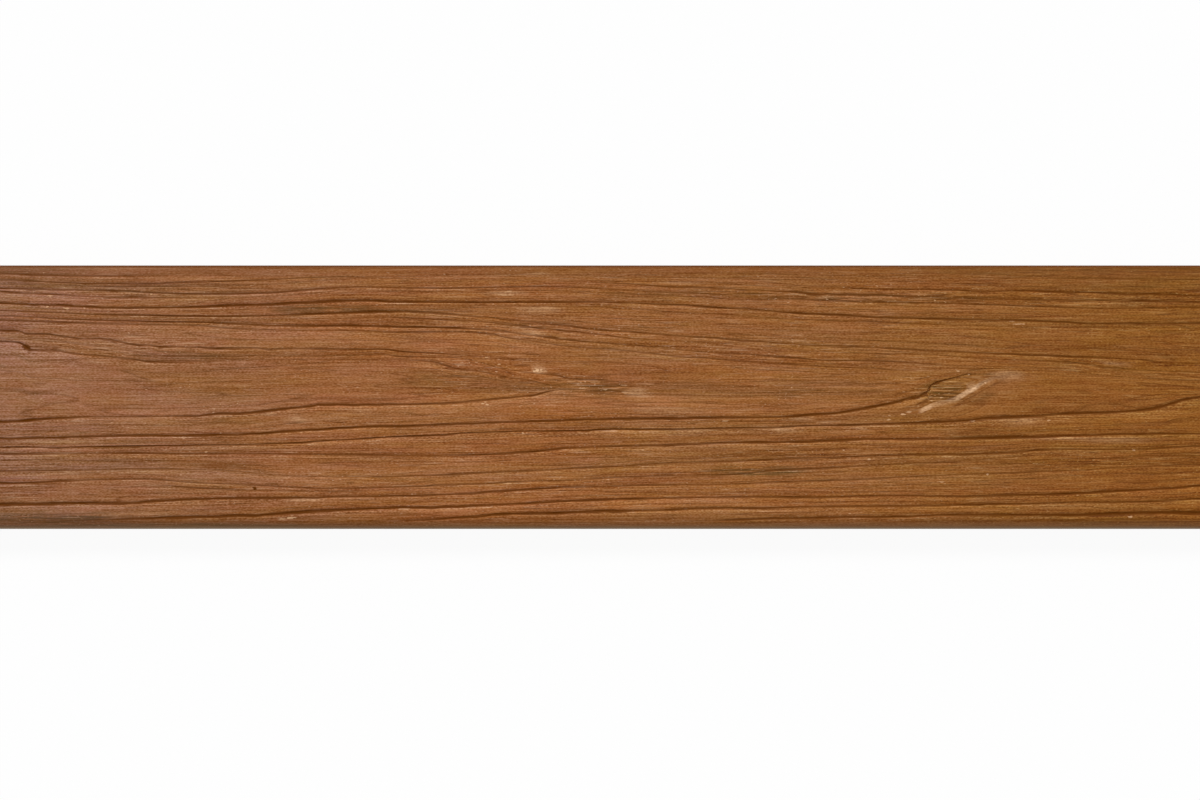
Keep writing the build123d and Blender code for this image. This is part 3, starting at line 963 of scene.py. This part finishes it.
def mark_faces(mesh, face_count, ring, count):
    """Marks the sawn ends and the underside, and which faces are smooth."""
    side_rows = 2 * ARRIS_ROWS + SIDE_ROWS
    row = np.tile(np.arange(ring), count - 1)
    underside = (row >= face_count + side_rows) & (row < ring - side_rows - 1)
    ends = np.array([True, True])
    sawn = np.concatenate([np.zeros(len(row), bool), ends])
    for name, values in (("underside", np.concatenate([underside, ~ends])), ("sawn_end", sawn)):
        attribute = mesh.attributes.new(name, "BOOLEAN", "FACE")
        attribute.data.foreach_set("value", values)
    mesh.polygons.foreach_set("use_smooth", ~sawn)
    mesh.update()


class Varying:
    """A number, place or colour that a node gives. Arithmetic with it adds the nodes that work it out."""

    def __init__(self, socket):
        self.socket = socket

    def __add__(self, other):
        return combined("ADD", self, other)

    def __sub__(self, other):
        return combined("SUBTRACT", self, other)

    def __rsub__(self, other):
        return combined("SUBTRACT", other, self)

    def __mul__(self, other):
        return combined("MULTIPLY", self, other)

    def __truediv__(self, other):
        return combined("DIVIDE", self, other)

    def __abs__(self):
        return combined("ABSOLUTE", self)


def tree_of(*values):
    """The tree that the varying ones among the values are in."""
    return next(value.socket.id_data for value in values if isinstance(value, Varying))


def fill_input(socket, value):
    """Links a varying value to a node's input, or sets the input to a plain one."""
    if isinstance(value, Varying):
        socket.id_data.links.new(value.socket, socket)
    else:
        socket.default_value = value


def add_node(tree, kind, inputs=None, **settings):
    """A node of that kind with its settings, and its inputs filled by name or number."""
    node = tree.nodes.new(kind)
    for name, value in settings.items():
        setattr(node, name, value)
    for name, value in (inputs or {}).items():
        fill_input(node.inputs[name], value)
    return node


def given_by(tree, kind, inputs=None, output=0, **settings):
    """What a new node of that kind gives at one of its outputs."""
    return Varying(add_node(tree, kind, inputs, **settings).outputs[output])


def combined(operation, *values, clamp=False):
    """What a math node makes of the values."""
    numbered = dict(enumerate(values))
    return given_by(tree_of(*values), "ShaderNodeMath", numbered, operation=operation, use_clamp=clamp)


def most(first, second):
    return combined("MAXIMUM", first, second)


def ramp(value, low, high, shape="SMOOTHSTEP"):
    """How far a value is on the way from low to high, from 0 to 1."""
    inputs = {"Value": value, "From Min": low, "From Max": high}
    return given_by(tree_of(value), "ShaderNodeMapRange", inputs, interpolation_type=shape)


def mixed(share, first, second, blend="MIX"):
    """A colour between two, or one over the other by a blend mode."""
    inputs = {0: share, 6: first, 7: second}
    tree = tree_of(share, first, second)
    return given_by(tree, "ShaderNodeMix", inputs, 2, data_type="RGBA", blend_type=blend)


def weighted(drawn, around=0.0, **weights):
    """The weighted sum of drawn values, each by its name and taken as above or below a half."""
    total = around
    for name, weight in weights.items():
        total = combined("MULTIPLY_ADD", drawn[name] - 0.5, weight, total)
    return total


def stretched_noise(place, length, spacing, detail, seed):
    """Noise that is drawn out along the board, of that length and spacing."""
    tree = tree_of(place)
    along, across, deep = map(Varying, add_node(tree, "ShaderNodeSeparateXYZ", {0: place}).outputs)
    scaled = {0: along / length, 1: across / spacing, 2: deep / spacing}
    at = given_by(tree, "ShaderNodeCombineXYZ", scaled)
    inputs = {"Vector": at, "W": seed, "Scale": 1.0, "Detail": detail}
    return given_by(tree, "ShaderNodeTexNoise", inputs, "Fac", noise_dimensions="4D")


def new_group(name, kind, inputs, outputs):
    """A node group and its inputs. Each input or output has a name, and a number or a socket's kind."""
    tree = bpy.data.node_groups.new(name, kind)
    for way, sockets in (("INPUT", inputs), ("OUTPUT", outputs)):
        for label, value in sockets.items():
            is_number = isinstance(value, float)
            socket_type = "NodeSocketFloat" if is_number else value
            socket = tree.interface.new_socket(name=label, in_out=way, socket_type=socket_type)
            if is_number:
                socket.default_value = value
    given = add_node(tree, "NodeGroupInput").outputs
    return tree, [Varying(socket) for socket in given[:len(inputs)]]


def use_group(name, *values):
    """Places a shader group in the tree of its values, which fill its inputs in their order."""
    group = bpy.data.node_groups[name]
    return given_by(tree_of(*values), "ShaderNodeGroup", dict(enumerate(values)), node_tree=group)


def make_streaks():
    """Long streaks drawn along the board: a value from 0 to 1, about as often above a half as below."""
    inputs = {"Place": "NodeSocketVector", "Length": 0.05, "Spacing": 0.002, "Detail": 2.0, "Seed": 0.0}
    tree, given = new_group("streaks", "ShaderNodeTree", inputs, {"Streak": 0.0})
    add_node(tree, "NodeGroupOutput", {0: ramp(stretched_noise(*given), *STREAK_SPAN, "LINEAR")})


def make_dashes():
    """Short broken dashes along the board, from 0 between them to 1 on them."""
    inputs = {"Place": "NodeSocketVector", "Length": 0.008, "Spacing": 0.0008, "Rarity": 0.8, "Seed": 0.0}
    tree, given = new_group("dashes", "ShaderNodeTree", inputs, {"Dash": 0.0})
    place, length, spacing, rarity, seed = given
    streak = use_group("streaks", place, length, spacing, 1.0, seed)
    add_node(tree, "NodeGroupOutput", {0: ramp(streak, rarity, rarity + DASH_SOFTNESS)})


def make_fleck():
    """One soft oval fleck at a place on the face, from 0 round it to 1 at its middle."""
    inputs = {"Place": "NodeSocketVector", "Centre X": 0.0, "Centre Y": 0.0}
    inputs |= {"Half Length": 0.004, "Half Width": 0.001, "Raggedness": 0.0}
    tree, given = new_group("fleck", "ShaderNodeTree", inputs, {"Fleck": 0.0})
    place, centre_x, centre_y, half_length, half_width, raggedness = given
    x, y, z = map(Varying, add_node(tree, "ShaderNodeSeparateXYZ", {0: place}).outputs)
    along = (x - centre_x) / half_length
    across = (y - centre_y) / half_width
    reach = combined("MULTIPLY_ADD", across, across, along * along)
    inside = ramp(reach - raggedness, *FLECK_SPAN)
    above = combined("GREATER_THAN", z, FLECK_FLOOR)
    near = combined("LESS_THAN", reach, FLECK_END)
    add_node(tree, "NodeGroupOutput", {0: inside * above * near})


def press_tree():
    """Geometry nodes that press the grain into the blank and lay its lands in soft waves."""
    shape = {"Geometry": "NodeSocketGeometry"}
    inputs = {**shape, **PRESSING, **dict.fromkeys(FINISHES, "NodeSocketMaterial")}
    tree, given = new_group("press grain", "GeometryNodeTree", inputs, shape)
    blank, scale, raggedness, wave_depth, wave_length, wave_spacing, seed, *finishes = given

    def carried(name, kind="FLOAT"):
        return given_by(tree, "GeometryNodeInputNamedAttribute", {"Name": name}, data_type=kind)

    grain = carried("grain", "FLOAT_VECTOR")
    ragged = stretched_noise(grain, RAGGED_LENGTH, RAGGED_SPACING, 1.0, seed)
    ragged = (ragged - 0.5) * raggedness * 2.0 + 1.0
    wave = stretched_noise(grain, wave_length, wave_spacing, 2.0, seed)
    depth = carried("press") * ragged * scale * MM + wave * wave_depth * carried("face")
    offset = given_by(tree, "ShaderNodeCombineXYZ", {"Z": depth * -1.0})
    board = given_by(tree, "GeometryNodeSetPosition", {"Geometry": blank, "Offset": offset})
    board = given_by(tree, "GeometryNodeRealizeInstances", {"Geometry": board})
    places = (True, carried("underside", "BOOLEAN"), carried("sawn_end", "BOOLEAN"))
    for place, finish in zip(places, finishes):
        inputs = {"Geometry": board, "Selection": place, "Material": finish}
        board = given_by(tree, "GeometryNodeSetMaterial", inputs)
    add_node(tree, "NodeGroupOutput", {0: board})
    return tree


def set_inputs(modifier, values):
    """Sets a geometry nodes modifier's inputs by the identifiers of the sockets with those names."""
    for item in modifier.node_group.interface.items_tree:
        if item.in_out == "INPUT" and item.name in values:
            modifier[item.identifier] = values[item.name]


def make_plain(piece):
    """Turns the piece into the plain mesh that its modifiers give."""
    evaluated = piece.evaluated_get(bpy.context.evaluated_depsgraph_get())
    mesh = bpy.data.meshes.new_from_object(evaluated)
    piece.modifiers.clear()
    piece.data = mesh
    mesh.name = piece.name


def new_material(name):
    """An empty material and its tree."""
    material = bpy.data.materials.new(name)
    material.use_nodes = True
    material.node_tree.nodes.clear()
    return material, material.node_tree


def end_material(material, colour, roughness, height, relief):
    """Ends a composite's material with its colour, its roughness and its fine relief, of that depth."""
    tree = material.node_tree
    bump = given_by(tree, "ShaderNodeBump", {"Strength": 1.0, "Distance": relief, "Height": height})
    inputs = {"Base Color": colour, "Roughness": roughness, "Normal": bump}
    inputs["Specular IOR Level"] = SPECULAR_LEVEL
    shader = given_by(tree, "ShaderNodeBsdfPrincipled", inputs)
    add_node(tree, "ShaderNodeOutputMaterial", {"Surface": shader})
    return material


def draw(table, places):
    """What a table has drawn, by name, along the places that it names."""
    drawn = {}
    for name, (group, place, length, spacing, detail, seed) in table.items():
        drawn[name] = use_group(group, places[place], length * MM, spacing * MM, detail, seed)
    return drawn


def line_shape(drawn, groove, side, rough):
    """The dark of a pressed line across its width: it wavers and swells, and its edges are ragged."""
    waver = weighted(drawn, waver=0.80, step=0.75) * (rough * ROUGH_WAVER + SMOOTH_WAVER)
    place = abs(side + waver) * weighted(drawn, 1.0, swell=-0.7)
    shape = ramp(place + weighted(drawn, brush=-0.22, grit=-0.22), *DARK_SPAN)
    return shape * combined("GREATER_THAN", groove, GROOVE_START)


def flecks(place, listed, ragged):
    """The listed small ragged flecks together: the greatest of their shares at each place."""
    total = 0.0
    for column, row, half_length, half_width, strength in listed:
        centre = (float(column_to_x(column)) * MM, float(row_to_y(row)) * MM)
        halves = [FLECK_GROWTH * half * MM_PER_PIXEL * MM for half in (half_length, half_width)]
        total = most(use_group("fleck", place, *centre, *halves, ragged) * strength, total)
    return total


def face_finish():
    """Pressed walking face and edges: variegated brown composite, dark in its pressed grain."""
    material, tree = new_material("pressed_grain_composite")
    grain = given_by(tree, "ShaderNodeUVMap", uv_map="grain")
    board = given_by(tree, "ShaderNodeTexCoord", output="Object")
    drawn = draw(FACE_DRAWING, {"grain": grain, "board": board})
    groove, dark, rim, side, rough, stain, bloom, glow, warm, face, edge, grey, tone = (
        given_by(tree, "ShaderNodeAttribute", output="Fac", attribute_name=name)
        for name in (
            "groove", "dark", "rim", "side", "rough", "stain", "bloom", "glow", "warm", "face", "edge",
            "grey", "tone",
        )
    )
    pale_dot, pale_hair, dark_dash = drawn["pale_dot"], drawn["pale_hair"], drawn["dark_dash"]

    lightness = weighted(drawn, 0.5, band=0.23, streak=0.21, brush=0.47, nap=0.21, grit=0.36)
    lightness = lightness + weighted(drawn, rib=0.42) * rough + glow * GLOW_LIGHTNESS
    colour = mixed(lightness, DEEP_COLOUR, LIGHT_COLOUR)
    stain_share = stain * weighted(drawn, 0.70, streak=0.8, brush=-0.9, rib=-1.2)
    colour = mixed(stain_share, colour, STAIN_COLOUR)
    hair = ramp(abs(drawn["hair"] - 0.5), HAIR_HALF_WIDTH, 0.0, "LINEAR") * face
    dark_share = dark_dash * (rough * ROUGH_DASH_SHARE + SMOOTH_DASH_SHARE) + hair * HAIR_SHARE
    colour = mixed(dark_share, colour, GROOVE_COLOUR)

    shape = line_shape(drawn, groove, side, rough)
    # Painted highlight on the near shoulder of each groove, which faces the key
    rim_highlight_streaks = weighted(drawn, 0.24, brush=0.7, grit=0.5, bunch=0.5)
    rim_highlight_share = combined("MULTIPLY", rim * (1.0 - shape), rim_highlight_streaks, clamp=True)
    colour = mixed(rim_highlight_share, colour, RIM_HIGHLIGHT_COLOUR)

    drawn["lightness"] = lightness
    for weights, low_tint, high_tint in DRIFTS:
        tint = mixed(weighted(drawn, 0.5, **weights), low_tint, high_tint)
        colour = mixed(1.0, colour, tint, "MULTIPLY")
    # Painted sheen: a pale veil of reflected light, most where the board is pinkish
    colour = mixed(tone, colour, PINKISH_SHEEN_TINT, "MULTIPLY")
    colour = mixed(warm, colour, WARM_TINT, "MULTIPLY")

    # Pale dashes within the painted highlight, and pale specks over the face
    rim_highlight_dashes = most(pale_dot, pale_hair) * rim_highlight_share
    speck_share = weighted(drawn, 0.11, bunch=0.25) + rough * ROUGH_SPECK_SHARE
    specks = speck_share * most(pale_hair, pale_dot * DOT_GAIN)
    colour = mixed(most(specks, rim_highlight_dashes), colour, PALE_COLOUR)
    # The painted sheen's ochre end, where the veil is least
    colour = mixed(tone * -1.0, colour, OCHRE_SHEEN_TINT, "MULTIPLY")

    ragged = weighted(drawn, nap=0.9, grit=0.8)
    bloom_share = bloom * weighted(drawn, 0.68, brush=0.6, nap=0.5, grit=0.35)
    colour = mixed(most(bloom_share, flecks(board, FLECKS, ragged)), colour, BLOOM_COLOUR)
    # The grooves' dark: partly the darker composite in them, partly painted shade standing in for their
    # depth
    groove_share = shape * dark * weighted(drawn, 0.97, brush=0.25, dark_dash=0.2)
    colour = mixed(most(groove_share, flecks(board, PITS, ragged)), colour, GROOVE_COLOUR)
    # Painted shade on the long edges and sides
    colour = mixed(edge, colour, GROOVE_COLOUR)
    # Painted sheen: a grey reflection of the pale surroundings on the near arris and the sides
    colour = mixed(grey * weighted(drawn, 1.0, streak=0.5), colour, ARRIS_SHEEN_COLOUR)

    roughness = weighted(drawn, 0.58, brush=0.12, streak=0.08) + groove * GROOVE_ROUGHNESS
    loose = weighted(drawn, 0.5, streak=0.50) - dark_dash * DASH_DEPTH - hair
    height = loose * face + drawn["brush"] * BRUSH_DEPTH
    return end_material(material, colour, roughness, height, FACE_RELIEF)


def underside_finish():
    """Plain drawn underside of the same composite, with long die lines."""
    material, tree = new_material("drawn_underside_composite")
    drawn = draw(UNDERSIDE_DRAWING, {"board": given_by(tree, "ShaderNodeTexCoord", output="Object")})
    colour = mixed(weighted(drawn, 0.45, band=0.5, die_line=0.35), DEEP_COLOUR, LIGHT_COLOUR)
    colour = mixed(drawn["scuff"] * SCUFF_SHARE, colour, PALE_COLOUR)
    roughness = weighted(drawn, 0.52, die_line=0.15)
    return end_material(material, colour, roughness, drawn["die_line"], UNDERSIDE_RELIEF)


def sawn_finish():
    """Sawn end: matt, speckled with wood flour, with the saw's faint upright marks."""
    material, tree = new_material("sawn_end_composite")
    board = given_by(tree, "ShaderNodeTexCoord", output="Object")
    quarter_turn = (0, 0, math.radians(90))
    turned = given_by(tree, "ShaderNodeMapping", {"Vector": board, "Rotation": quarter_turn})
    drawn = draw(SAWN_DRAWING, {"saw": turned})
    inputs = {"Vector": board, "Scale": GRAINS_SCALE, "Detail": 3.0}
    drawn["grains"] = given_by(tree, "ShaderNodeTexNoise", inputs, "Fac")
    inputs = {"Vector": board, "Scale": FLOUR_SCALE}
    flour = ramp(given_by(tree, "ShaderNodeTexVoronoi", inputs, "Distance"), *FLOUR_SPAN, "LINEAR")
    colour = mixed(weighted(drawn, 0.55, grains=1.2, saw_mark=0.25), DEEP_COLOUR, LIGHT_COLOUR)
    colour = mixed(flour * FLOUR_SHARE, colour, PALE_COLOUR)
    roughness = weighted(drawn, 0.85, grains=0.3)
    height = weighted(drawn, 0.5, grains=1.0, saw_mark=0.8)
    return end_material(material, colour, roughness, height, SAWN_RELIEF)


def place_object(name, data):
    """A new object in the scene."""
    placed = bpy.data.objects.new(name, data)
    bpy.context.scene.collection.objects.link(placed)
    return placed


def make_board():
    """The pressed board, in place of the frame's plain one."""
    make_streaks()
    make_dashes()
    make_fleck()
    board = place_object("deck_board_pressed", board_blank())
    press = board.modifiers.new("press grain", "NODES")
    press.node_group = press_tree()
    set_inputs(press, PRESSING)
    set_inputs(press, dict(zip(FINISHES, (face_finish(), underside_finish(), sawn_finish()))))
    make_plain(board)
    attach(board, "root")
    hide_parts(BOARD)


def seen_share(tree):
    """1 for the rays that show a surface, straight or in a mirror or through glass, and 0 for the rest."""
    path = add_node(tree, "ShaderNodeLightPath").outputs
    camera, glossy, through = (
        Varying(path[name]) for name in ("Is Camera Ray", "Is Glossy Ray", "Is Transmission Ray")
    )
    return most(most(camera, glossy), through)


def make_light():
    """One soft key from beyond the far edge, and an even pale surrounding."""
    key = bpy.data.lights.new("key", "SUN")
    key.energy = math.pi * KEY_SHARE / math.cos(KEY_TILT)
    key.angle = KEY_SOFTNESS
    place_object("key", key).rotation_euler = (-KEY_TILT, 0.0, KEY_SWING)

    world = bpy.data.worlds.new("studio")
    bpy.context.scene.world = world
    world.use_nodes = True
    tree = world.node_tree
    tree.nodes.clear()
    strength = combined("MULTIPLY_ADD", seen_share(tree), KEY_SHARE, 1.0 - KEY_SHARE)
    background = given_by(tree, "ShaderNodeBackground", {"Color": SKY_COLOUR, "Strength": strength})
    add_node(tree, "ShaderNodeOutputWorld", {"Surface": background})


def make_floor():
    """A wide pale floor that shows white and still takes the board's shadow."""
    corners = [(-1, -1), (1, -1), (1, 1), (-1, 1)]
    mesh = bpy.data.meshes.new("floor")
    mesh.from_pydata([(x * FLOOR_HALF, y * FLOOR_HALF, 0.0) for x, y in corners], [], [(0, 1, 2, 3)])
    floor = place_object("floor", mesh)
    material, tree = new_material("pale_floor")
    matt = given_by(tree, "ShaderNodeBsdfDiffuse", {"Color": FLOOR_COLOUR})
    white = given_by(tree, "ShaderNodeEmission", {"Strength": 1.0})
    share = seen_share(tree) * FLOOR_WHITE_SHARE
    blend = given_by(tree, "ShaderNodeMixShader", {0: share, 1: matt, 2: white})
    add_node(tree, "ShaderNodeOutputMaterial", {"Surface": blend})
    mesh.materials.append(material)


def make_camera():
    """Straight above the board's middle, at the photograph's scale where the long edges turn down."""
    camera = bpy.data.cameras.new("camera")
    camera.lens = LENS
    camera.sensor_width = SENSOR
    camera.clip_start = CLIP_START
    camera.clip_end = CLIP_END
    edge_height = BOARD_THICKNESS - FACE_ARRIS_RADIUS
    distance = PHOTO_COLUMNS * MM_PER_PIXEL * LENS / SENSOR
    holder = place_object("camera", camera)
    holder.location = (0.0, row_to_y(PHOTO_ROWS / 2) * MM, (edge_height + distance) * MM)
    bpy.context.scene.camera = holder


make_board()
make_floor()
make_light()
make_camera()
bpy.context.scene.view_settings.view_transform = "Standard"
